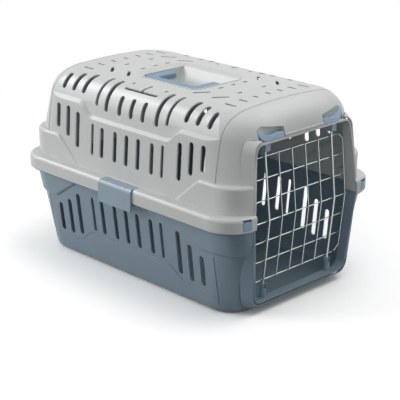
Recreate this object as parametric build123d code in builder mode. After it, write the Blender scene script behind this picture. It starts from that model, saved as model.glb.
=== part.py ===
from build123d import *
import os
from math import cos, radians, sin, tan

# Pet carrier: two plastic shells, a fold-down handle, side clips and a bent-wire door.
# Millimetres, +Z up, origin on the ground under the middle. The door faces -Y and the long sides face
# -X and +X. Plan sizes of the shells are half widths (X), half lengths (Y) and corner radii.

# Shells: walls and heights
wall = 2.4                # thickness of both shells
floor_t = 2.8             # thickness of the floor
seam_z = 143.0            # top of the lower shell's flange, on which the upper shell stands
flange_t = 3.0
flange_lip = 5.0          # height of the flange's turned-down edge
skirt_z = 140.6           # lower edge of the upper shell's rim
rim_top_z = 162.0
roof_z = 302.0            # top of the roof, in its middle
roof_fall_x = (90.0, 4.0)   # distance from the middle, and how far the roof has fallen there

# Shells: plan sizes (half width, half length, corner radius)
base_plan = (131.5, 214.0, 46.0)
lower_top_plan = (147.5, 236.5, 46.0)
upper_low_plan = (143.7, 235.5, 44.0)
upper_high_plan = (136.6, 229.5, 73.0)
upper_high_z = 262.0
shoulder_high_x = 130.0   # half width of the slotted middle, which is set back above the side panels
rim_plan = (163.0, 242.0, 48.0)
rim_gap = 0.4             # between the rim's skirt and the flange inside it
flange_in = (141.5, 232.5, 42.0)
base_round = 14.0         # rounding under the lower shell
roof_round = 46.0         # rounding between walls and roof
shoulder_round = 40.0     # the same in the slotted middle
rim_round = 6.0

# Shells: relief
lower_block_z = 98.0      # underside of the lower shell's corner blocks
lower_block_out = 3.5
lower_block_ys = (118.0, 166.0)   # where their underside bends, near the rim and at its level
lower_block_rim_z = 128.0
upper_block_z = 203.5
upper_block_plan = (145.5, 237.0, 46.0)
upper_block_ys = (107.0, 158.0)   # where their top line leaves the rim and turns level
block_bend = 16.0         # rounding of these lines
block_edge = 5.0          # rounding of the blocks' edges
block_end_x = 95.0        # where the blocks end on the short sides
panel_y = 187.0           # half length of the side panels, up to the grooves
ridge_end_z = 265.0       # their ridge over the end slots and over the middle
ridge_mid_z = 247.0
ridge_ys = (82.0, 118.0)  # where the ridge line starts and ends its slope
ridge_slope = 0.7         # fall of the ridge outwards
shoulder_rise = 0.7       # how far the shoulder's rounding starts above the roof's edge
groove_w = 2.0
groove_d = 0.8
low_groove_z = (31.0, 53.0)   # groove under the lower slots, at its ends and in its middle
low_groove_ys = (80.0, 128.0, 178.0)   # where it bends, levels out and ends
low_groove_end_z = (14.0, 94.0)

# Ventilation slots: place along the side, width, lower row, upper row (low, high), shoulder (angles)
side_slots = (
    (0.0, 8.5, (59.4, 116.5), (185.3, 233.0), (-2.5, 43.0)),
    (26.0, 8.5, (59.4, 116.5), (185.3, 233.0), (-2.5, 43.0)),
    (56.2, 8.5, (59.4, 116.5), (185.3, 233.0), (-2.5, 90.0)),
    (78.7, 6.2, (58.8, 116.5), (185.6, 235.0), (6.0, 90.0)),
    (114.5, 9.2, (43.6, 113.4), (190.0, 246.5), (24.0, 88.0)),
    (138.0, 9.2, (38.8, 98.2), (203.2, 252.0), (24.0, 78.0)),
    (162.0, 9.2, (38.8, 87.0), (213.3, 252.4), (24.0, 66.0)),
)
roof_row_y = 157.0
roof_row = ((0.0, 11.0), (26.0, 12.0), (52.0, 17.0), (78.0, 23.0))   # place across, length
roof_dots = ((26.0, 125.0, 10.0), (26.0, 86.0, 10.0), (0.0, 86.0, 10.0), (90.0, 36.0, 7.0))
roof_hole_w = 5.0
roof_slits = ((61.0, 81.0), (61.0, 120.0))
slit_len = 27.0
slit_w = 5.0
vent_x = 108.0            # long vent on each shoulder
vent_len = 72.0
vent_branch = 24.0

# Door opening, seen from the front
opening_top = (99.7, 257.0)   # half width and height of its upper corners, before rounding
opening_mid = (111.0, 140.0)
opening_bulge = (107.2, 190.0)
opening_low = (98.5, 20.0)
opening_round = 12.0
frame_t = 2.4             # collar round the opening
flare = 13.0              # how much wider the collar's flare is at its back
flare_deg = 31.0
frame_back_y = -216.0
frame_front = ((-229.5, 12.0), (-232.0, 45.0), (-236.5, 100.0), (-239.2, 142.0), (-238.5, 170.0),
               (-236.0, 200.0), (-232.0, 240.0), (-230.4, 264.0))

# Door
wire_d = 1.8
rod_d = 3.4
wire_pitch = 28.75
row_pitch = 31.6
wire_rows = (-3, -2, -1, 0, 1, 2, 3)
upright_places = (-1.5, -0.5, 0.5, 1.5)
door_mid_z = 140.3        # height of the bend across the door
door_mid_y = -226.9
door_lean = 6.0
edge_x = 100.6            # axis of the edge wires
row_side_x = 86.0         # half length of the first and last cross wires
edge_chamfer = 9.0
bend_round = 3.0
pin_xy = (72.0, -219.4)   # axis of a rod's pins
pin_z = (34.0, 247.5)     # lower and upper end of a rod
running_gap = 0.05        # radial clearance of pins in their holes
free_gap = 0.3            # clearance of other moving faces

# Sockets on the sill for the door's pins
socket_d = 10.0
socket_h = 21.0
socket_mouth = 3.8        # width of its slot to the front

# Door latches
latch_x = (42.0, 90.0)    # inner and outer end of the thumb tab
latch_h = 9.0             # height of its inner end
latch_rise = 15.5         # height of its outer end
latch_dip = 7.0           # height of the dip for the thumb
latch_lift = 5.0
latch_y = (-224.6, -220.0)   # front and back of its shank
tab_back_y = -219.0       # back of the tab, whose front follows the shell
tab_under = 0.3           # how far it lies under the shell's surface
shank_w = 10.0
catch_d = 10.0
catch_z = (243.5, 249.5)
pocket_wall = 2.2
pocket_gap = 0.4
pocket_room = 1.3         # over the horn of the lifted latch
pocket_fall = 7.0         # how much lower it is at the inner end
pocket_round = 2.5

# Carry handle
handle_len = 122.0
handle_x = -52.0          # outer edge of the grip, folded down
grip_w = 16.0
arm_w = 20.0
handle_t = 10.0
handle_top_z = 298.5
handle_round = 12.0
pivot_x = 0.0
trunnion_d = 5.0
trunnion_len = 4.0
well_gap = 2.5            # between the grip and the walls of its well
well_end_gap = 0.6        # between the arms and the end walls
well_round = 14.0
dish_z = 297.6            # level to which the roof dips round the handle
dish_out = 12.0           # how far out the dip starts
well_ledge_x = -44.0      # where the ledge under the grip ends and the bowl begins
bowl_z = 272.0
bowl_low_x = -6.0
bowl_x = 47.0

# Side clips
clip_len = 74.0
clip_t = 2.6
clip_low_z = 127.0
clip_pivot = (150.5, 159.5)
clip_barrel_d = 5.0
clip_pin_d = 3.0
clip_pin_len = 4.0
clip_round = 6.0
hook_h = 2.2
hook_gap = 0.8            # under the flange's edge
hook_reach = 4.3          # from the clip's plate inwards
clip_seat_d = 6.0         # depth of the seat under the rim's top

# Corner keys in the rim
key_x = 127.5
key_w = 13.0
key_h = 11.0
key_z = 149.2
key_window_h = 15.6
key_proud = 0.4
key_back_y = -234.0


# Heights that follow from the opening
sill_z = opening_low[1]
header_z = opening_top[1] + frame_t


def at_height(low, high, low_z, high_z, z):
    """Plan sizes of a straight-sided wall at height z."""
    share = (z - low_z) / (high_z - low_z)
    return tuple(a + (b - a) * share for a, b in zip(low, high))


def lower_plan(z, inset=0.0):
    """Plan of the lower shell at height z, moved inwards by inset."""
    return tuple(s - inset for s in at_height(base_plan, lower_top_plan, 0.0, seam_z - flange_t, z))


def upper_plan(z, inset=0.0):
    """Plan of the upper shell at height z, moved inwards by inset."""
    return tuple(s - inset for s in at_height(upper_low_plan, upper_high_plan, rim_top_z, upper_high_z, z))


def rounded_block(low, high, low_z, high_z):
    """Solid between two rounded rectangles."""
    with BuildPart() as block:
        for plan, z in ((low, low_z), (high, high_z)):
            with BuildSketch(Plane.XY.offset(z)):
                RectangleRounded(2 * plan[0], 2 * plan[1], plan[2])
        loft(ruled=True)
    return block.part


def ring_block(outer, inner, low_z, high_z):
    """Upright ring between two rounded rectangles."""
    with BuildPart() as ring:
        with BuildSketch(Plane.XY.offset(low_z)):
            RectangleRounded(2 * outer[0], 2 * outer[1], outer[2])
            RectangleRounded(2 * inner[0], 2 * inner[1], inner[2], mode=Mode.SUBTRACT)
        extrude(amount=high_z - low_z)
    return ring.part


def grown(plan, by):
    return tuple(s + by for s in plan)


def lower_body(inset, low_z):
    """Lower shell as a solid, its walls moved inwards by inset."""
    top_z = seam_z - flange_t
    with BuildPart() as body:
        add(rounded_block(lower_plan(low_z, inset), lower_plan(top_z, inset), low_z, top_z))
        fillet(body.faces().sort_by(Axis.Z)[0].edges(), base_round - inset)
    return body.part


def side_prism(points, half_x):
    """Prism along X over a closed outline of (y, z) points."""
    with BuildPart() as prism:
        with BuildSketch(Plane.YZ):
            with BuildLine():
                Polyline(*points, close=True)
            make_face()
        extrude(amount=half_x, both=True)
    return prism.part


def crown_radius(fall):
    """Radius of an arc that falls by fall[1] over fall[0]."""
    return (fall[0] ** 2 + fall[1] ** 2) / (2 * fall[1])


def crowned_top(inset):
    """Everything under the roof, which is an arc across the carrier."""
    radius = crown_radius(roof_fall_x) - inset
    half_x = upper_low_plan[0] + 30.0
    high_z = roof_z - inset
    edge_z = high_z - radius + (radius ** 2 - half_x ** 2) ** 0.5
    with BuildPart() as crown:
        with BuildSketch(Plane.XZ):
            with BuildLine():
                ThreePointArc((-half_x, edge_z), (0, high_z), (half_x, edge_z))
                Polyline((half_x, edge_z), (half_x, 0), (-half_x, 0), (-half_x, edge_z))
            make_face()
        extrude(amount=upper_low_plan[1] + 30.0, both=True)
    return crown.part


def shoulder_x(z):
    """Half width of the slotted middle's wall at height z."""
    (x,) = at_height(upper_low_plan[:1], (shoulder_high_x,), rim_top_z, upper_high_z, z)
    return x


def above_ridge(x, inset):
    """Area over the side panels' ridge, which dips over the middle slots, in a plane across X."""
    fall = ridge_slope * (x - shoulder_high_x) + inset
    mid_z, end_z = ridge_mid_z - fall, ridge_end_z - fall
    half = panel_y + inset
    y1, y2 = ridge_ys
    with BuildSketch(Plane.YZ.offset(x)) as area:
        with BuildLine():
            Line((-half, end_z), (-y2, end_z))
            Spline((-y2, end_z), (-y1, mid_z), tangents=((1, 0), (1, 0)))
            Line((-y1, mid_z), (y1, mid_z))
            Spline((y1, mid_z), (y2, end_z), tangents=((1, 0), (1, 0)))
            Line((y2, end_z), (half, end_z))
            Line((half, end_z), (half, roof_z + 60.0))
            Line((half, roof_z + 60.0), (-half, roof_z + 60.0))
            Line((-half, roof_z + 60.0), (-half, end_z))
        make_face()
    return area.sketch


def shoulder_cut(inset):
    """Cutter that sets the right shoulder back over the side panel, grown by inset."""
    low_z = ridge_mid_z - 30.0
    top_z = roof_z - roof_fall_x[1] + shoulder_rise - inset
    x_low, x_top = shoulder_x(low_z) - inset, shoulder_x(top_z) - inset
    with BuildPart() as cut:
        loft([above_ridge(x_low - 90.0, inset), above_ridge(x_low + 30.0, inset)], ruled=True)
        with BuildSketch(Plane.XZ.offset(-200.0)) as inside:
            with BuildLine():
                Polyline((0, low_z), (x_low, low_z), (x_top, top_z), (0, top_z), close=True)
            make_face()
            fillet(inside.vertices().sort_by(Axis.X)[2:3], shoulder_round - inset)
        extrude(amount=400.0, mode=Mode.SUBTRACT)
        add(box_between((0, -200.0, low_z), (x_top - shoulder_round, 200.0, roof_z + 30.0)),
            mode=Mode.SUBTRACT)
    return cut.part


def upper_body(inset, low_z):
    """Upper shell without its rim as a solid, its walls and roof moved inwards by inset."""
    high_z = roof_z + 10.0
    with BuildPart() as body:
        add(rounded_block(upper_plan(low_z, inset), upper_plan(high_z, inset), low_z, high_z))
        add(crowned_top(inset), mode=Mode.INTERSECT)
        fillet(body.faces().sort_by(Axis.Z)[-1].edges(), roof_round - inset)
    return body.part


def upper_form(inset, low_z):
    """The same with its slotted middle set back and the roof dished round the handle."""
    cut = shoulder_cut(inset)
    with BuildPart() as form:
        add(upper_body(inset, low_z))
        add(cut, mode=Mode.SUBTRACT)
        mirror(cut, about=Plane.YZ, mode=Mode.SUBTRACT)
        add(handle_dish(inset), mode=Mode.SUBTRACT)
    return form.part


def opening_outline(grow):
    """Outline of the door opening, grown outwards."""
    with BuildSketch(Plane.XZ.offset(-frame_back_y)) as outline:
        with BuildLine():
            Line((-opening_top[0], opening_top[1]), opening_top)
            ThreePointArc(opening_top, opening_bulge, opening_mid)
            Line(opening_mid, opening_low)
            Line(opening_low, (-opening_low[0], opening_low[1]))
            Line((-opening_low[0], opening_low[1]), (-opening_mid[0], opening_mid[1]))
            ThreePointArc((-opening_mid[0], opening_mid[1]), (-opening_bulge[0], opening_bulge[1]),
                          (-opening_top[0], opening_top[1]))
        make_face()
        corners = outline.vertices().filter_by(lambda v: abs(v.Y - opening_mid[1]) > 1.0)
        fillet(corners, opening_round)
        if grow:
            offset(amount=grow, kind=Kind.INTERSECTION)
    return outline.sketch


def opening_frame(low_z, high_z):
    """Collar round the door opening between two heights, with a flare into the front wall."""
    reach = 30.0
    profile = ((frame_back_y, frame_front[0][1]),) + frame_front + ((frame_back_y, frame_front[-1][1]),)
    with BuildPart() as collar:
        extrude(opening_outline(frame_t + flare), amount=reach, taper=flare_deg)
        extrude(opening_outline(frame_t + flare - wall), amount=reach, taper=flare_deg, mode=Mode.SUBTRACT)
        extrude(opening_outline(frame_t), amount=reach)
        extrude(opening_outline(0.0), amount=reach, mode=Mode.SUBTRACT)
        add(side_prism(profile, 200.0), mode=Mode.INTERSECT)
        with BuildSketch(Plane.XY.offset(low_z)):
            Rectangle(400, 600)
        extrude(amount=high_z - low_z, mode=Mode.INTERSECT)
    return collar.part


def side_groove():
    """Band of the groove under the lower slots, which is higher in the middle."""
    end_z, mid_z = low_groove_z
    y1, y2, y3 = low_groove_ys
    with BuildPart() as band:
        with BuildSketch(Plane.YZ):
            with BuildLine():
                for z in (0.0, groove_w):
                    Line((-y3, end_z + z), (-y2, end_z + z))
                    Spline((-y2, end_z + z), (-y1, mid_z + z), tangents=((1, 0), (1, 0)))
                    Line((-y1, mid_z + z), (y1, mid_z + z))
                    Spline((y1, mid_z + z), (y2, end_z + z), tangents=((1, 0), (1, 0)))
                    Line((y2, end_z + z), (y3, end_z + z))
                for y in (-y3, y3):
                    Line((y, end_z), (y, end_z + groove_w))
            make_face()
        extrude(amount=200.0, both=True)
    return band.part


def x_slots(row):
    """Cutters for one row of upright slots through both long sides."""
    with BuildPart() as cutters:
        with BuildSketch(Plane.YZ):
            for y, width, *rows in side_slots:
                low_z, high_z = rows[row]
                for side in sorted({y, -y}):
                    with Locations((side, (low_z + high_z) / 2)):
                        SlotOverall(high_z - low_z, width, rotation=90)
        extrude(amount=200.0, both=True)
    return cutters.part


def shoulder_slot(y, width, low_deg, high_deg):
    """Cutter for a slot that runs over the shoulder on the +X side, its ends rounded."""
    edge_z = roof_z - roof_fall_x[1]
    centre_z = edge_z - shoulder_round
    centre_x = shoulder_x(centre_z) - shoulder_round
    r1 = shoulder_round - 9.0
    r2 = shoulder_round + 9.0

    def on_arc(r, deg):
        return (centre_x + r * cos(radians(deg)), centre_z + r * sin(radians(deg)))

    mid = (low_deg + high_deg) / 2
    with BuildPart() as cutter:
        with BuildSketch(Plane.XZ.offset(-y)):
            with BuildLine():
                ThreePointArc(on_arc(r2, low_deg), on_arc(r2, mid), on_arc(r2, high_deg))
                Line(on_arc(r2, high_deg), on_arc(r1, high_deg))
                ThreePointArc(on_arc(r1, high_deg), on_arc(r1, mid), on_arc(r1, low_deg))
                Line(on_arc(r1, low_deg), on_arc(r2, low_deg))
            make_face()
        extrude(amount=width / 2, both=True)
        ends = cutter.edges().filter_by(GeomType.LINE).filter_by(lambda e: abs((e % 0).Y) < 0.5)
        fillet(ends, width / 2 - 0.05)
    return cutter.part


def roof_holes():
    """Cutters for the roof's small holes, slits and shoulder vents."""
    with BuildPart() as cutters:
        with BuildSketch(Plane.XY.offset(roof_z + 2.0)):
            for sx in (-1, 1):
                for sy in (-1, 1):
                    for x, length in roof_row:
                        if x or sx > 0:
                            with Locations((sx * x, sy * roof_row_y)):
                                SlotOverall(length, roof_hole_w, rotation=90)
                    for x, y, length in roof_dots:
                        if x or sx > 0:
                            with Locations((sx * x, sy * y)):
                                SlotOverall(length, roof_hole_w, rotation=0)
                    for x, y in roof_slits:
                        with Locations((sx * x, sy * y)):
                            SlotOverall(slit_len, slit_w, rotation=-45 * sx * sy)
                with Locations((sx * vent_x, 0)):
                    SlotOverall(vent_len, slit_w, rotation=90)
                with Locations((sx * (vent_x - vent_branch / 2), 0)):
                    SlotOverall(vent_branch, slit_w)
        extrude(amount=-24.0)
    return cutters.part


def well_outline(grow, high_z):
    """Section across the handle's well: a ledge under the grip, then a bowl for the fingers."""
    ledge_z = handle_top_z - handle_t - well_gap - grow
    x1 = handle_x - well_gap - grow
    x2 = bowl_x + grow
    low = (bowl_low_x, bowl_z - grow)
    with BuildSketch(Plane.XZ) as outline:
        with BuildLine():
            Line((x1, high_z), (x1, ledge_z))
            Line((x1, ledge_z), (well_ledge_x, ledge_z))
            Spline((well_ledge_x, ledge_z), low, tangents=((0.5, -1), (1, 0)))
            Spline(low, (x2, high_z), tangents=((1, 0), (0.7, 1)))
            Line((x2, high_z), (x1, high_z))
        make_face()
    return outline.sketch


def handle_well(grow, high_z):
    """The well as a solid, grown by the wall for its outside."""
    half = handle_len / 2 + well_end_gap + grow
    x1 = handle_x - well_gap - grow
    x2 = bowl_x + grow
    with BuildPart() as well:
        extrude(well_outline(grow, high_z), amount=half, both=True)
        with BuildSketch(Plane.XY.offset(bowl_z - grow - 1.0)):
            with Locations(((x1 + x2) / 2, 0)):
                RectangleRounded(x2 - x1, 2 * half, well_round + grow)
        extrude(amount=high_z - bowl_z + grow + 2.0, mode=Mode.INTERSECT)
    return well.part


def handle_dish(drop):
    """Shallow dip of the roof round the handle's well, lowered by drop for its underside."""
    low_z = dish_z - drop
    high_z = roof_z + 4.0 - drop
    slope = dish_out * (high_z - low_z) / (roof_z - roof_fall_x[1] / 3 - dish_z)
    half = handle_len / 2 + well_end_gap
    x1 = handle_x - well_gap
    x2 = bowl_x
    with BuildPart() as dish:
        for z, out, radius in ((low_z, 0.0, well_round), (high_z, slope, well_round + slope)):
            with BuildSketch(Plane.XY.offset(z)):
                with Locations(((x1 + x2) / 2, 0)):
                    RectangleRounded(x2 - x1 + 2 * out, 2 * (half + out), radius)
        loft(ruled=True)
    return dish.part


def y_cylinder(radius, x, z, y1, y2):
    """Cylinder along Y between y1 and y2."""
    with BuildPart() as rod:
        with BuildSketch(Plane.XZ.offset(-y1)):
            with Locations((x, z)):
                Circle(radius)
        extrude(amount=-(y2 - y1))
    return rod.part


def box_between(low, high):
    """Box between two opposite corners."""
    with BuildPart() as box:
        with BuildSketch(Plane.XY.offset(low[2])):
            with Locations(((low[0] + high[0]) / 2, (low[1] + high[1]) / 2)):
                Rectangle(high[0] - low[0], high[1] - low[1])
        extrude(amount=high[2] - low[2])
    return box.part


def block_outline(points):
    """Outline of the corner blocks on one side of the middle, seen along X, its line's bends rounded."""
    with BuildSketch(Plane.YZ) as outline:
        with BuildLine():
            Polyline(*points, close=True)
        make_face()
        bends = outline.vertices().filter_by(lambda v: v.X < 200.0).sort_by(Axis.X)
        fillet(bends[1:], block_bend)
    return outline.sketch


def corner_blocks(low, high, low_z, high_z, outline, root_z, rounding):
    """Blocks at the four corners within an outline seen from the side, rounded away from their root."""
    with BuildPart() as blocks:
        add(rounded_block(low, high, low_z, high_z))
        extrude(outline, amount=200.0, mode=Mode.INTERSECT)
        add(box_between((0.0, 0.0, low_z - 1.0), (block_end_x, 300.0, high_z + 1.0)), mode=Mode.SUBTRACT)
        level = blocks.faces().filter_by(
            lambda f: abs(f.normal_at().Z) > 0.2 and abs(f.center().Z - root_z) > 0.5)
        rims = level.edges().filter_by(
            lambda e: e.center().X > block_end_x + 1.0 and abs(e.center().Z - root_z) > 0.5)
        fillet(rims.filter_by(lambda e: abs((e % 0.5).X) < 0.99 or e.center().Y > 200.0), rounding)
        mirror(about=Plane.XZ)
        mirror(about=Plane.YZ)
    return blocks.part


def lower_blocks(inset):
    top_z = seam_z - flange_t
    low_z = lower_block_z + inset
    shift = lower_block_out - inset
    near_y, far_y = lower_block_ys
    outline = block_outline([(near_y - 14.0 + inset, top_z), (near_y + inset, lower_block_rim_z + inset),
                             (far_y, low_z), (300.0, low_z), (300.0, top_z)])
    return corner_blocks(lower_plan(low_z, -shift), lower_plan(top_z, -shift), low_z, top_z, outline,
                         top_z, block_edge - inset)


def upper_blocks(inset):
    low_z = rim_top_z - 1.0 if inset == 0.0 else rim_top_z
    high_z = upper_block_z - inset
    plan = grown(upper_block_plan, -inset)
    near_y, far_y = upper_block_ys
    outline = block_outline([(near_y + inset, low_z), (far_y + inset / 2, high_z), (300.0, high_z),
                             (300.0, low_z)])
    return corner_blocks(plan, plan, low_z, high_z, outline, low_z, block_edge - inset)


def filleted_block(plan, low_z, high_z, radius):
    """Upright rounded block with its upper edges rounded."""
    with BuildPart() as block:
        add(rounded_block(plan, plan, low_z, high_z))
        fillet(block.faces().sort_by(Axis.Z)[-1].edges(), radius)
    return block.part


def tab_outline():
    """Thumb tab of the right latch seen from the front: a step inside, a dip, and a horn outside."""
    inner_x, outer_x = latch_x
    low_z = header_z + pocket_gap
    with BuildSketch(Plane.XZ) as outline:
        with BuildLine():
            Line((inner_x, low_z), (pin_xy[0] + 6.0, low_z))
            ThreePointArc((pin_xy[0] + 6.0, low_z), (outer_x - 2.6, low_z + 6.0),
                          (outer_x, low_z + latch_rise))
            Line((outer_x, low_z + latch_rise), (outer_x - 5.0, low_z + latch_rise))
            ThreePointArc((outer_x - 5.0, low_z + latch_rise), (outer_x - 16.0, low_z + latch_dip + 1.2),
                          (inner_x + 19.0, low_z + latch_dip))
            Line((inner_x + 19.0, low_z + latch_dip), (inner_x + 15.0, low_z + latch_h))
            Line((inner_x + 15.0, low_z + latch_h), (inner_x + 1.5, low_z + latch_h - 1.0))
            Line((inner_x + 1.5, low_z + latch_h - 1.0), (inner_x, low_z))
        make_face()
    return outline.sketch


def pocket_outline(grow):
    """Recess round the right latch seen from the front, grown by its wall."""
    inner_x, outer_x = latch_x
    x1 = inner_x - pocket_gap - grow
    x2 = outer_x + pocket_gap + grow
    low_z = header_z - (frame_t if grow else 0.0)
    high_z = header_z + pocket_gap + latch_rise + latch_lift + pocket_room + grow
    with BuildSketch(Plane.XZ) as outline:
        with BuildLine():
            Polyline((x1, low_z), (x2, low_z), (x2, high_z), (x1, high_z - pocket_fall), close=True)
        make_face()
        fillet(outline.vertices().filter_by(lambda v: v.Y > low_z + 1.0), pocket_round + grow)
    return outline.sketch


os.makedirs("parts", exist_ok=True)

flange_plan = grown(rim_plan, -wall - rim_gap)
flange_low_z = seam_z - flange_t
pin_x, pin_y = pin_xy
opening_cut = extrude(opening_outline(0.0), amount=60.0, both=True)

# Lower shell
with BuildPart() as lower_shell:
    add(lower_body(0.0, 0.0))
    add(lower_blocks(0.0))
    add(ring_block(flange_plan, flange_in, flange_low_z, seam_z))
    add(ring_block(flange_plan, grown(flange_plan, -wall), seam_z - flange_lip, flange_low_z))
    add(lower_body(wall, floor_t) + lower_blocks(wall), mode=Mode.SUBTRACT)
    add(opening_cut, mode=Mode.SUBTRACT)
    add(opening_frame(0.0, seam_z))
    for x in (-pin_x, pin_x):
        with BuildSketch(Plane.XY.offset(sill_z - frame_t)):
            with Locations((x, pin_y)):
                Circle(socket_d / 2)
        extrude(amount=socket_h + frame_t)
    for x in (-pin_x, pin_x):
        with BuildSketch(Plane.XY.offset(pin_z[0])):
            with Locations((x, pin_y)):
                Circle(rod_d / 2 + running_gap)
            with Locations((x, pin_y - socket_d / 2)):
                Rectangle(socket_mouth, socket_d)
        extrude(amount=socket_h, mode=Mode.SUBTRACT)
    add(x_slots(0), mode=Mode.SUBTRACT)
    low_z, high_z = low_groove_end_z
    bands = [box_between((-200.0, y, low_z), (200.0, y + groove_w, high_z))
             for y in (-panel_y - groove_w, panel_y)]
    for band in [side_groove()] + bands:
        add(band - lower_body(groove_d, 0.0), mode=Mode.SUBTRACT)
lower_shell.part.label = "lower_shell"
export_step(lower_shell.part, "parts/lower_shell.step")

# Upper shell
outer = upper_form(0.0, seam_z)
seat_x = clip_pivot[0] - clip_barrel_d / 2 - 0.8
seat_z = rim_top_z - clip_seat_d
seat_half = clip_len / 2 + 0.4
cheek_half = seat_half + clip_pin_len + 1.5
rim_solid = filleted_block(rim_plan, skirt_z, rim_top_z, rim_round)
rim_hollow = filleted_block(grown(rim_plan, -wall), skirt_z, rim_top_z - wall, rim_round - wall)
pocket_y = tab_back_y + pocket_gap
pocket = Pos(0, pocket_y, 0) * extrude(pocket_outline(0.0), amount=60.0)
tub = (Pos(0, pocket_y + pocket_wall, 0) * extrude(pocket_outline(pocket_wall), amount=60.0)) & outer
with BuildPart() as upper_shell:
    add(rim_solid)
    add(rim_hollow, mode=Mode.SUBTRACT)
    add(outer)
    add(upper_blocks(0.0))
    for side in (-1, 1):
        x1, x2 = sorted((side * (upper_low_plan[0] - 1.0), side * (rim_plan[0] - wall)))
        add(box_between((x1, -cheek_half, seat_z - wall), (x2, cheek_half, rim_top_z - wall)))
    add(upper_form(wall, seam_z) + upper_blocks(wall), mode=Mode.SUBTRACT)
    add(opening_cut, mode=Mode.SUBTRACT)
    add(opening_frame(seam_z, roof_z))
    add(handle_well(wall, roof_z - wall - 0.3))
    add(tub)
    mirror(tub, about=Plane.YZ)
    add(handle_well(0.0, roof_z + 10.0), mode=Mode.SUBTRACT)
    trunnion_end = handle_len / 2 + trunnion_len
    add(y_cylinder(trunnion_d / 2 + running_gap, pivot_x, handle_top_z - handle_t / 2,
                   -trunnion_end - 1.0, trunnion_end + 1.0), mode=Mode.SUBTRACT)
    add(pocket, mode=Mode.SUBTRACT)
    mirror(pocket, about=Plane.YZ, mode=Mode.SUBTRACT)
    for side in (-1, 1):
        hole_half = shank_w / 2 + pocket_gap
        add(box_between((side * pin_x - hole_half, latch_y[0] - pocket_gap, header_z - frame_t - 1.0),
                        (side * pin_x + hole_half, latch_y[1] + pocket_gap, header_z + 1.0)),
            mode=Mode.SUBTRACT)
        x1, x2 = sorted((side * seat_x, side * (rim_plan[0] + 10.0)))
        add(box_between((x1, -seat_half, seat_z), (x2, seat_half, rim_top_z + 1.0)), mode=Mode.SUBTRACT)
        pin_end = seat_half + clip_pin_len
        add(y_cylinder(clip_pin_d / 2 + running_gap, side * clip_pivot[0], clip_pivot[1], -pin_end, pin_end),
            mode=Mode.SUBTRACT)
        key_half = key_w / 2 + free_gap
        add(box_between((side * key_x - key_half, -rim_plan[1] - 5.0, key_z - key_h / 2 - free_gap),
                        (side * key_x + key_half, key_back_y, key_z - key_h / 2 + key_window_h)),
            mode=Mode.SUBTRACT)
    slots = [shoulder_slot(along, width, *angles)
             for y, width, low, high, angles in side_slots for along in sorted({y, -y})]
    mirrored = [mirror(slot, about=Plane.YZ, mode=Mode.PRIVATE) for slot in slots]
    add([x_slots(1), roof_holes()] + slots + mirrored, mode=Mode.SUBTRACT)
    for along in (-panel_y - groove_w, panel_y):
        band = box_between((-200.0, along, rim_top_z + 3.0), (200.0, along + groove_w, roof_z + 5.0))
        add(band - upper_form(groove_d, seam_z) - upper_blocks(0.0), mode=Mode.SUBTRACT)
upper_shell.part.label = "upper_shell"
export_step(upper_shell.part, "parts/upper_shell.step")

# Carry handle, folded down
handle_z = handle_top_z - handle_t / 2
half = handle_len / 2
with BuildPart() as carry_handle:
    with BuildSketch(Plane.XY.offset(handle_top_z - handle_t)):
        with Locations(((handle_x + pivot_x) / 2, 0)):
            Rectangle(pivot_x - handle_x, handle_len)
    extrude(amount=handle_t)
    fillet(carry_handle.edges().filter_by(Axis.Z).sort_by(Axis.X)[:2], handle_round)
    with BuildSketch(Plane.XY.offset(handle_top_z - handle_t)):
        inner_x = handle_x + grip_w
        with Locations(((inner_x + pivot_x) / 2, 0)):
            Rectangle(pivot_x - inner_x, handle_len - 2 * arm_w)
    extrude(amount=handle_t, mode=Mode.SUBTRACT)
    inner_corners = carry_handle.edges().filter_by(Axis.Z).filter_by(
        lambda e: abs(e.center().X - inner_x) < 0.1)
    fillet(inner_corners, 6.0)
    for side in (-1, 1):
        y1, y2 = sorted((side * half, side * (half - arm_w)))
        add(y_cylinder(handle_t / 2, pivot_x, handle_z, y1, y2))
    rims = carry_handle.faces().filter_by(Axis.Z).edges().filter_by(lambda e: e.center().X < pivot_x - 0.1)
    fillet(rims, 3.0)
    for side in (-1, 1):
        y1, y2 = sorted((side * (half - 1.0), side * (half + trunnion_len)))
        add(y_cylinder(trunnion_d / 2, pivot_x, handle_z, y1, y2))
carry_handle.part.label = "carry_handle"
export_step(carry_handle.part, "parts/carry_handle.step")


# Door
def on_door(along, forward):
    """(y, z) of a point on the bent door, along it from its middle and forward of it."""
    y = door_mid_y + abs(along) * sin(radians(door_lean)) - forward / cos(radians(door_lean))
    return (y, door_mid_z + along * cos(radians(door_lean)))


def bent_wire(points, diameter):
    """Wire through points in one plane, its bends rounded."""
    with BuildPart() as wire:
        with BuildLine() as path:
            FilletPolyline(*points, radius=bend_round)
        with BuildSketch(Plane(path.line @ 0, z_dir=path.line % 0)):
            Circle(diameter / 2)
        sweep(path=path.line)
    return wire.part


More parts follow.
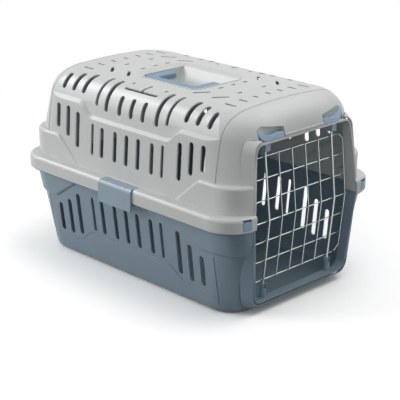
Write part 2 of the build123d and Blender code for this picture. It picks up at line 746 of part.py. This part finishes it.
last_row = max(wire_rows)
row_half = edge_x - wire_d / 2
pieces = {}
for number, row in enumerate(reversed(wire_rows), 1):
    y, z = on_door(row * row_pitch, 0.0)
    reach = row_side_x if abs(row) == last_row else row_half
    with BuildPart() as wire:
        with BuildSketch(Plane.YZ.offset(-reach)):
            with Locations((y, z)):
                Circle(wire_d / 2)
        extrude(amount=2 * reach)
    pieces[f"door_cross_wire_{number}"] = wire.part
for number, place in enumerate(upright_places, 1):
    ends = [on_door(side * (last_row * row_pitch + wire_d / 2), wire_d) for side in (-1, 1)]
    stops = (ends[0], on_door(0.0, wire_d), ends[1])
    pieces[f"door_upright_{number}"] = bent_wire([(place * wire_pitch, y, z) for y, z in stops], wire_d)
rod_forward = (wire_d + rod_d) / 2
rod_mid_y = on_door(0.0, rod_forward)[0]
rod_bend = (pin_y - rod_mid_y) / tan(radians(door_lean))
for side, name in ((-1, "left"), (1, "right")):
    rod = [(side * pin_x, pin_y, pin_z[0]), (side * pin_x, pin_y, door_mid_z - rod_bend),
           (side * pin_x, rod_mid_y, door_mid_z), (side * pin_x, pin_y, door_mid_z + rod_bend),
           (side * pin_x, pin_y, pin_z[1])]
    pieces[f"door_rod_{name}"] = bent_wire(rod, rod_d)
    last = last_row * row_pitch
    edge = [(side * row_side_x, *on_door(-last, 0.0)), (side * (edge_x - edge_chamfer), *on_door(-last, 0.0)),
            (side * edge_x, *on_door(-last + edge_chamfer, 0.0)), (side * edge_x, *on_door(0.0, 0.0)),
            (side * edge_x, *on_door(last - edge_chamfer, 0.0)),
            (side * (edge_x - edge_chamfer), *on_door(last, 0.0)), (side * row_side_x, *on_door(last, 0.0))]
    pieces[f"door_edge_{name}"] = bent_wire(edge, wire_d)

# Door latches, down
tab = Pos(0, tab_back_y, 0) * extrude(tab_outline(), amount=60.0)
with BuildPart() as latch:
    add(tab)
    add(upper_body(tab_under, seam_z), mode=Mode.INTERSECT)
    fillet(latch.edges().group_by(Axis.Y)[0], 0.6)
    shank_top_z = header_z + pocket_gap + 2.0
    add(box_between((pin_x - shank_w / 2, latch_y[0], catch_z[0]),
                    (pin_x + shank_w / 2, latch_y[1], shank_top_z)))
    add(box_between((pin_x - catch_d / 2, latch_y[0], catch_z[0]),
                    (pin_x + catch_d / 2, pin_y + catch_d / 2, catch_z[1])))
    with BuildSketch(Plane.XY.offset(catch_z[0])):
        with Locations((pin_x, pin_y)):
            Circle(rod_d / 2 + running_gap)
    extrude(amount=pin_z[1] + free_gap - catch_z[0], mode=Mode.SUBTRACT)
pieces["door_latch_right"] = latch.part
pieces["door_latch_left"] = mirror(latch.part, about=Plane.YZ)

# Side clips, closed
plate_in = rim_plan[0] + 0.6
plate_out = plate_in + clip_t
clip_x, clip_z = clip_pivot
arm_low = rim_top_z - clip_t
hook_z = seam_z - flange_lip - hook_gap
with BuildPart() as clip:
    with BuildSketch(Plane.XZ.offset(-clip_len / 2)):
        with BuildLine():
            Polyline((clip_x, rim_top_z), (plate_out, rim_top_z), (plate_out, clip_low_z),
                     (plate_in, clip_low_z), (plate_in, hook_z - hook_h),
                     (plate_in - hook_reach, hook_z - 0.8), (plate_in - hook_reach, hook_z),
                     (plate_in, hook_z), (plate_in, arm_low), (clip_x, arm_low), close=True)
        make_face()
    extrude(amount=clip_len)
    corner = clip.edges().filter_by(Axis.Y)
    fillet(corner.filter_by(lambda e: e.center().X > plate_out - 0.1 and e.center().Z > rim_top_z - 0.1),
           clip_round)
    fillet(corner.filter_by(lambda e: abs(e.center().X - plate_in) < 0.1 and e.center().Z > arm_low - 0.1),
           clip_round - clip_t)
    low_corners = clip.edges().filter_by(Axis.X).filter_by(lambda e: e.center().Z < clip_low_z + 0.1)
    fillet(low_corners, 5.0)
    add(y_cylinder(clip_barrel_d / 2, clip_x, clip_z, -clip_len / 2, clip_len / 2))
    add(y_cylinder(clip_pin_d / 2, clip_x, clip_z, -clip_len / 2 - clip_pin_len, clip_len / 2 + clip_pin_len))
pieces["side_clip_right"] = clip.part
pieces["side_clip_left"] = mirror(clip.part, about=Plane.YZ)

# Rim keys
for side, name in ((-1, "left"), (1, "right")):
    low_z = key_z - key_h / 2
    with BuildPart() as key:
        add(box_between((side * key_x - key_w / 2, -rim_plan[1] - 5.0, low_z),
                        (side * key_x + key_w / 2, key_back_y, low_z + key_h)))
        face = grown(rim_plan, key_proud)
        add(rounded_block(face, face, skirt_z, rim_top_z), mode=Mode.INTERSECT)
        fillet(key.faces().sort_by(Axis.Y)[0].edges(), 0.3)
        back = filleted_block(grown(rim_plan, -wall - 0.2), skirt_z, rim_top_z - wall - 0.2, rim_round - wall)
        shoulder = box_between((side * key_x - key_w / 2 - 1.5, -rim_plan[1], seam_z),
                               (side * key_x + key_w / 2 + 1.5, key_back_y, low_z + key_h + 1.5))
        add(shoulder & back)
    pieces[f"rim_key_{name}"] = key.part

for name, piece in pieces.items():
    piece.label = name
    export_step(piece, f"parts/{name}.step")
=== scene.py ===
import bpy
from mathutils import Matrix, Vector

bl_info = {
    "name": "Pet Carrier Dressing",
    "version": (1, 0, 0),
    "blender": (4, 5, 0),
    "location": "View3D > Sidebar > Carrier",
    "description": "Dresses a two-shell pet carrier in plastic and zinc-plated wire and sets its stage",
    "category": "Object",
}

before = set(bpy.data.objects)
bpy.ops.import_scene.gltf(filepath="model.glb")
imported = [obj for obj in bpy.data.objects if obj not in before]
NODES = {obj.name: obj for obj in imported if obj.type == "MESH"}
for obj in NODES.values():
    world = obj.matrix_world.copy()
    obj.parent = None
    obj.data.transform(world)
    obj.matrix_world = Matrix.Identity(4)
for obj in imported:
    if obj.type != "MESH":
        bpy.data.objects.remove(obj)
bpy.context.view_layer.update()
DOOR_NODES = sorted(name for name in NODES if name.startswith("door_") and "latch" not in name)
MM = 0.001
WHITE = (1.0, 1.0, 1.0, 1.0)

# Moulded polypropylene
PLASTIC_IOR = 1.49
CLOUD_SIZE = 60 * MM
CLOUD_DARK, CLOUD_LIGHT = 0.965, 1.03    # of the plastic's colour
GRAIN_SIZE = 0.9 * MM
GRAIN_DEPTH = 0.06 * MM
GRAIN_STRENGTH = 0.35
GRAIN_GLOSS = (-0.04, 0.05)              # added to the roughness in the grain's valleys and on its tops
EDGE_ROUND = 0.9 * MM
LATCH_EDGE_ROUND = 0.6 * MM
KEY_EDGE_ROUND = 0.4 * MM
LOWER_SHELL_SMOOTHER = 0.04
FITTING_ROUGHNESS = 0.4
CLIP_ROUGHNESS = 0.38

# Zinc-plated wire
PATCH_SIZE = 9 * MM
PATCH_DARK = 0.9                         # of the zinc's colour
WIRE_ROUGHNESS = (0.12, 0.26)

# Stage
PAPER_FADE = (0.55, 1.15)                # distances from the carrier between which the paper turns white
ROOM_LIGHT = 0.5
CARD_CORNERS = ((-0.02, -0.27), (-1.2, -0.27), (-1.2, -1.45))   # in plan, on the floor before the door
CARD_HEIGHT = 2 * MM

# Camera that took the photograph, as fitted to the carrier's edges in it
CAMERA_PLACE = (-1.2943, -1.3347, 0.7601)
CAMERA_BACK = (-0.65947, -0.67235, 0.33623)   # from the scene towards the camera
PHOTO_WIDTH_PX = 400.0
FOCAL_LENGTH_PX = 1232.6
SENSOR_WIDTH_MM = 36.0
VIEW_DEPTH = 50.0


# Small helpers

def srgb_hex(text):
    """Linear colour of an sRGB hex value such as #C8CBCA, by the sRGB curve for each channel."""
    text = text.lstrip("#")
    channels = [int(text[i:i + 2], 16) / 255.0 for i in (0, 2, 4)]
    return [c / 12.92 if c <= 0.04045 else ((c + 0.055) / 1.055) ** 2.4 for c in channels] + [1.0]


def shade(colour, share):
    """A colour made darker or lighter by a share, at most white."""
    return [min(1.0, channel * share) for channel in colour[:3]] + [1.0]


def add_node(tree, kind, settings=None, values=None, links=None):
    """Adds a node, sets its properties and its inputs' values, and links its inputs from other outputs."""
    node = tree.nodes.new(kind)
    for key, value in (settings or {}).items():
        setattr(node, key, value)
    for key, value in (values or {}).items():
        node.inputs[key].default_value = value
    for key, output in (links or {}).items():
        tree.links.new(output, node.inputs[key])
    return node


def new_material(name):
    """An empty node material, its node tree and its output node."""
    material = bpy.data.materials.new(name)
    material.use_nodes = True
    tree = material.node_tree
    tree.nodes.clear()
    return material, tree, add_node(tree, "ShaderNodeOutputMaterial")


def noise(tree, place, size, detail=2.0):
    """Soft noise from 0 to 1, with blotches of about the given size."""
    return add_node(tree, "ShaderNodeTexNoise", values={"Scale": 1.0 / size, "Detail": detail},
                    links={"Vector": place}).outputs["Fac"]


def mix_colours(tree, factor, first, second):
    """The first colour where the factor is 0, the second where it is 1."""
    mix = add_node(tree, "ShaderNodeMix", {"data_type": "RGBA"}, {6: first, 7: second}, {0: factor})
    return mix.outputs[2]


def mix_shaders(tree, factor, first, second):
    """The first shader where the factor is 0, the second where it is 1."""
    return add_node(tree, "ShaderNodeMixShader", links={0: factor, 1: first, 2: second}).outputs[0]


def dress(node_name, material):
    """Gives a CAD node one material in every slot."""
    data = NODES[node_name].data
    data.materials.clear()
    data.materials.append(material)


# Materials

def moulded_polypropylene(name, hex_colour, roughness, edge_round=EDGE_ROUND):
    """Polypropylene moulded in a spark-eroded tool: a satin skin with a fine even grain and no metal. The
    colour runs through the plastic, so it only clouds by a few percent where the melt flowed. The real
    grain is about 0.1 mm and is drawn coarser, so that it shows. Moulded edges are slightly round, which
    the bevelled normal gives the light."""
    material, tree, out = new_material(name)
    colour = srgb_hex(hex_colour)
    place = add_node(tree, "ShaderNodeTexCoord").outputs["Object"]
    cloud = noise(tree, place, CLOUD_SIZE)
    tint = mix_colours(tree, cloud, shade(colour, CLOUD_DARK), shade(colour, CLOUD_LIGHT))
    grain = noise(tree, place, GRAIN_SIZE, detail=3.0)
    soft_edge = add_node(tree, "ShaderNodeBevel", {"samples": 4}, {"Radius": edge_round})
    relief = add_node(tree, "ShaderNodeBump", values={"Strength": GRAIN_STRENGTH, "Distance": GRAIN_DEPTH},
                      links={"Height": grain, "Normal": soft_edge.outputs["Normal"]})
    sheen = add_node(tree, "ShaderNodeMapRange",
                     values={"To Min": roughness + GRAIN_GLOSS[0], "To Max": roughness + GRAIN_GLOSS[1]},
                     links={"Value": grain})
    skin = add_node(tree, "ShaderNodeBsdfPrincipled", values={"IOR": PLASTIC_IOR},
                    links={"Base Color": tint, "Roughness": sheen.outputs["Result"],
                           "Normal": relief.outputs["Normal"]})
    tree.links.new(skin.outputs["BSDF"], out.inputs["Surface"])
    return material


def zinc_plated_wire(name, hex_colour):
    """Drawn steel wire with bright zinc plating: a smooth metal that shows light and dark lines along the
    wire, with patches where the plating is duller."""
    material, tree, out = new_material(name)
    zinc = srgb_hex(hex_colour)
    place = add_node(tree, "ShaderNodeTexCoord").outputs["Object"]
    patches = noise(tree, place, PATCH_SIZE)
    dull = add_node(tree, "ShaderNodeMapRange",
                    values={"To Min": WIRE_ROUGHNESS[0], "To Max": WIRE_ROUGHNESS[1]},
                    links={"Value": patches})
    tint = mix_colours(tree, patches, shade(zinc, PATCH_DARK), zinc)
    metal = add_node(tree, "ShaderNodeBsdfPrincipled", values={"Metallic": 1.0},
                     links={"Base Color": tint, "Roughness": dull.outputs["Result"]})
    tree.links.new(metal.outputs["BSDF"], out.inputs["Surface"])
    return material


def seen_ray(tree):
    """1 for rays from the camera and for what mirrors or lets through the scene, else 0."""
    ray = add_node(tree, "ShaderNodeLightPath")
    either = add_node(tree, "ShaderNodeMath", {"operation": "MAXIMUM"},
                      links={0: ray.outputs["Is Camera Ray"], 1: ray.outputs["Is Glossy Ray"]})
    return add_node(tree, "ShaderNodeMath", {"operation": "MAXIMUM"},
                    links={0: either.outputs[0], 1: ray.outputs["Is Transmission Ray"]}).outputs[0]


def backdrop_paper(name, hex_seen, hex_lift, hex_bounce):
    """Seamless paper sweep: matt and white. It is seen lifted to white, with the carrier's shadow on it, and
    away from the carrier it turns to plain white, as an evenly lit sweep does. What it throws back on the
    carrier is toned down, as black flags beside the sweep do."""
    material, tree, out = new_material(name)
    skin = add_node(tree, "ShaderNodeBsdfDiffuse", values={"Color": srgb_hex(hex_seen)})
    lift = add_node(tree, "ShaderNodeBsdfDiffuse", values={"Color": srgb_hex(hex_lift)})
    lifted = add_node(tree, "ShaderNodeAddShader", links={0: skin.outputs[0], 1: lift.outputs[0]})
    bounce = add_node(tree, "ShaderNodeBsdfDiffuse", values={"Color": srgb_hex(hex_bounce)})
    white = add_node(tree, "ShaderNodeEmission", values={"Color": WHITE, "Strength": 1.0})
    place = add_node(tree, "ShaderNodeTexCoord").outputs["Object"]
    distance = add_node(tree, "ShaderNodeVectorMath", {"operation": "LENGTH"}, links={0: place})
    far = add_node(tree, "ShaderNodeMapRange", {"interpolation_type": "SMOOTHSTEP"},
                   {"From Min": PAPER_FADE[0], "From Max": PAPER_FADE[1]},
                   {"Value": distance.outputs["Value"]})
    sweep = mix_shaders(tree, far.outputs["Result"], lifted.outputs[0], white.outputs[0])
    paper = mix_shaders(tree, seen_ray(tree), bounce.outputs[0], sweep)
    tree.links.new(paper, out.inputs["Surface"])
    return material


def matt_black_card(name, hex_colour):
    """Matt black paperboard, which throws back hardly any light."""
    material, tree, out = new_material(name)
    skin = add_node(tree, "ShaderNodeBsdfDiffuse", values={"Color": srgb_hex(hex_colour)})
    tree.links.new(skin.outputs[0], out.inputs["Surface"])
    return material


# Stage

def flat_sheet(scene, name, corners, height, material):
    """A level sheet between corners given in plan."""
    data = bpy.data.meshes.new(name)
    data.from_pydata([(x, y, height) for x, y in corners], [], [range(len(corners))])
    data.materials.append(material)
    sheet = bpy.data.objects.new(name, data)
    scene.collection.objects.link(sheet)
    return sheet


def light_room(scene):
    """A dim even light from all around, which is itself seen as white."""
    scene.world = bpy.data.worlds.new("studio_room")
    scene.world.use_nodes = True
    tree = scene.world.node_tree
    tree.nodes.clear()
    out = add_node(tree, "ShaderNodeOutputWorld")
    room = add_node(tree, "ShaderNodeBackground", values={"Color": WHITE, "Strength": ROOM_LIGHT})
    white = add_node(tree, "ShaderNodeBackground", values={"Color": WHITE, "Strength": 1.0})
    seen = mix_shaders(tree, seen_ray(tree), room.outputs[0], white.outputs[0])
    tree.links.new(seen, out.inputs["Surface"])


def softbox(scene, name, place, aim, size, watts, gloss_only=False):
    """A rectangular area lamp at a place, turned towards a point. It can light gloss alone."""
    data = bpy.data.lights.new(name, "AREA")
    data.shape = "RECTANGLE"
    data.size, data.size_y = size
    data.energy = watts
    lamp = bpy.data.objects.new(name, data)
    scene.collection.objects.link(lamp)
    lamp.location = place
    lamp.rotation_euler = (Vector(aim) - Vector(place)).to_track_quat("-Z", "Y").to_euler()
    lamp.visible_camera = False
    lamp.visible_diffuse = not gloss_only


def photo_camera(scene):
    """The camera at the photograph's place and angle, upright, with its focal length."""
    data = bpy.data.cameras.new("photo_camera")
    data.sensor_width = SENSOR_WIDTH_MM
    data.lens = FOCAL_LENGTH_PX / PHOTO_WIDTH_PX * SENSOR_WIDTH_MM
    data.clip_end = VIEW_DEPTH
    camera = bpy.data.objects.new("photo_camera", data)
    scene.collection.objects.link(camera)
    back = Vector(CAMERA_BACK).normalized()
    right = Vector((0, 0, 1)).cross(back).normalized()
    turn = Matrix((right, back.cross(right), back)).transposed().to_4x4()
    camera.matrix_world = Matrix.Translation(CAMERA_PLACE) @ turn
    return camera


# Sizes and colours

class CarrierColours(bpy.types.PropertyGroup):
    upper: bpy.props.StringProperty(name="Upper shell", default="#CDD0CF",
                                    description="sRGB hex of the upper shell")
    lower: bpy.props.StringProperty(name="Lower shell", default="#7F94A2",
                                    description="sRGB hex of the lower shell")
    handle: bpy.props.StringProperty(name="Handle", default="#7292AB",
                                     description="sRGB hex of the carry handle")
    clip: bpy.props.StringProperty(name="Side clips", default="#91A6B5",
                                   description="sRGB hex of the side clips")
    latch: bpy.props.StringProperty(name="Latches", default="#A4BFD5",
                                    description="sRGB hex of the door latches")
    key: bpy.props.StringProperty(name="Rim keys", default="#8FB0C9",
                                  description="sRGB hex of the rim keys")
    wire: bpy.props.StringProperty(name="Door wire", default="#C6D0CF",
                                   description="sRGB hex of the zinc plating")
    paper: bpy.props.StringProperty(name="Backdrop", default="#FDFDFD",
                                    description="sRGB hex of the paper")
    lift: bpy.props.StringProperty(name="Backdrop lift", default="#A5A5A5",
                                   description="sRGB hex that lifts the seen paper to white")
    bounce: bpy.props.StringProperty(name="Backdrop bounce", default="#808080",
                                     description="sRGB hex of what the paper throws back")
    card: bpy.props.StringProperty(name="Black card", default="#060606",
                                   description="sRGB hex of the card that the wires mirror")


class CarrierSizes(bpy.types.PropertyGroup):
    roughness: bpy.props.FloatProperty(name="Shell roughness", description="Roughness of the upper shell",
                                       default=0.36, min=0.0, max=1.0, subtype="FACTOR")
    floor_half: bpy.props.FloatProperty(name="Floor half width", description="Half width of the paper floor",
                                        default=6.0, min=1.0, unit="LENGTH")


# Operators

class CARRIER_OT_stage(bpy.types.Operator):
    """Lay the paper floor and set the lamps and the camera"""
    bl_idname = "carrier.stage"
    bl_label = "Set Stage"

    def execute(self, context):
        scene = context.scene
        colours, half = scene.carrier_colours, scene.carrier_sizes.floor_half
        floor_corners = ((-half, -half), (half, -half), (half, half), (-half, half))
        paper = backdrop_paper("backdrop_paper", colours.paper, colours.lift, colours.bounce)
        floor = flat_sheet(scene, "paper_floor", floor_corners, 0.0, paper)

        light_room(scene)
        softbox(scene, "overhead_softbox", place=(0.5, -0.5, 2.1), aim=(0, 0, 0.15), size=(1.7, 1.7),
                watts=15.8)
        softbox(scene, "side_softbox", place=(-1.45, 1.3, 0.75), aim=(0, 0, 0.1), size=(1.0, 1.0),
                watts=15.5)
        # This one stands behind the carrier and draws light lines along its rounded edges
        softbox(scene, "edge_softbox", place=(-0.6, 1.35, 1.3), aim=(0, 0, 0.15), size=(0.7, 0.7), watts=17,
                gloss_only=True)
        # The wires mirror this one as a light line, and the black card on the floor as a dark one
        softbox(scene, "wire_strip_softbox", place=(1.9, -0.5, 2.2), aim=(1.9, -0.5, 0.0), size=(0.9, 3.0),
                watts=21, gloss_only=True)
        card = flat_sheet(scene, "black_card", CARD_CORNERS, CARD_HEIGHT,
                          matt_black_card("black_card_paper", colours.card))
        for kind in ("camera", "diffuse", "transmission", "shadow"):
            setattr(card, f"visible_{kind}", False)

        scene.camera = photo_camera(scene)
        scene.view_settings.view_transform = "Standard"
        return {"FINISHED"}


class CARRIER_OT_shells(bpy.types.Operator):
    """Dress both shells in satin moulded polypropylene"""
    bl_idname = "carrier.shells"
    bl_label = "Dress Shells"

    def execute(self, context):
        colours, roughness = context.scene.carrier_colours, context.scene.carrier_sizes.roughness
        dress("upper_shell", moulded_polypropylene("pp_light_grey_moulded", colours.upper, roughness))
        dress("lower_shell", moulded_polypropylene("pp_blue_grey_moulded", colours.lower,
                                                   roughness - LOWER_SHELL_SMOOTHER))
        return {"FINISHED"}


class CARRIER_OT_fittings(bpy.types.Operator):
    """Dress the handle, clips, latches and keys in coloured polypropylene"""
    bl_idname = "carrier.fittings"
    bl_label = "Dress Fittings"

    def execute(self, context):
        colours = context.scene.carrier_colours
        handle = moulded_polypropylene("pp_handle_blue_moulded", colours.handle, FITTING_ROUGHNESS)
        clip = moulded_polypropylene("pp_clip_blue_moulded", colours.clip, CLIP_ROUGHNESS)
        latch = moulded_polypropylene("pp_latch_blue_moulded", colours.latch, FITTING_ROUGHNESS,
                                      LATCH_EDGE_ROUND)
        key = moulded_polypropylene("pp_key_blue_moulded", colours.key, FITTING_ROUGHNESS, KEY_EDGE_ROUND)
        dress("carry_handle", handle)
        for side in ("left", "right"):
            dress(f"side_clip_{side}", clip)
            dress(f"door_latch_{side}", latch)
            dress(f"rim_key_{side}", key)
        return {"FINISHED"}


class CARRIER_OT_door(bpy.types.Operator):
    """Dress the door's wires in bright zinc"""
    bl_idname = "carrier.door"
    bl_label = "Dress Door"

    def execute(self, context):
        wire = zinc_plated_wire("steel_wire_zinc_plated", context.scene.carrier_colours.wire)
        for node in DOOR_NODES:
            dress(node, wire)
        return {"FINISHED"}


OPERATORS = (CARRIER_OT_stage, CARRIER_OT_shells, CARRIER_OT_fittings, CARRIER_OT_door)


class CARRIER_PT_panel(bpy.types.Panel):
    """Lists the carrier's operators, colours and sizes"""
    bl_idname = "CARRIER_PT_panel"
    bl_label = "Pet Carrier"
    bl_space_type = "VIEW_3D"
    bl_region_type = "UI"
    bl_category = "Carrier"

    def draw(self, context):
        for operator in OPERATORS:
            self.layout.operator(operator.bl_idname)
        for group in (context.scene.carrier_colours, context.scene.carrier_sizes):
            for key in group.bl_rna.properties.keys():
                if key not in {"rna_type", "name"}:
                    self.layout.prop(group, key)


CLASSES = (CarrierColours, CarrierSizes) + OPERATORS + (CARRIER_PT_panel,)


def register():
    for cls in CLASSES:
        bpy.utils.register_class(cls)
    bpy.types.Scene.carrier_colours = bpy.props.PointerProperty(type=CarrierColours)
    bpy.types.Scene.carrier_sizes = bpy.props.PointerProperty(type=CarrierSizes)


def unregister():
    del bpy.types.Scene.carrier_sizes
    del bpy.types.Scene.carrier_colours
    for cls in reversed(CLASSES):
        bpy.utils.unregister_class(cls)


def main():
    register()
    bpy.ops.carrier.stage()
    bpy.ops.carrier.shells()
    bpy.ops.carrier.fittings()
    bpy.ops.carrier.door()


if __name__ == "__main__":
    main()
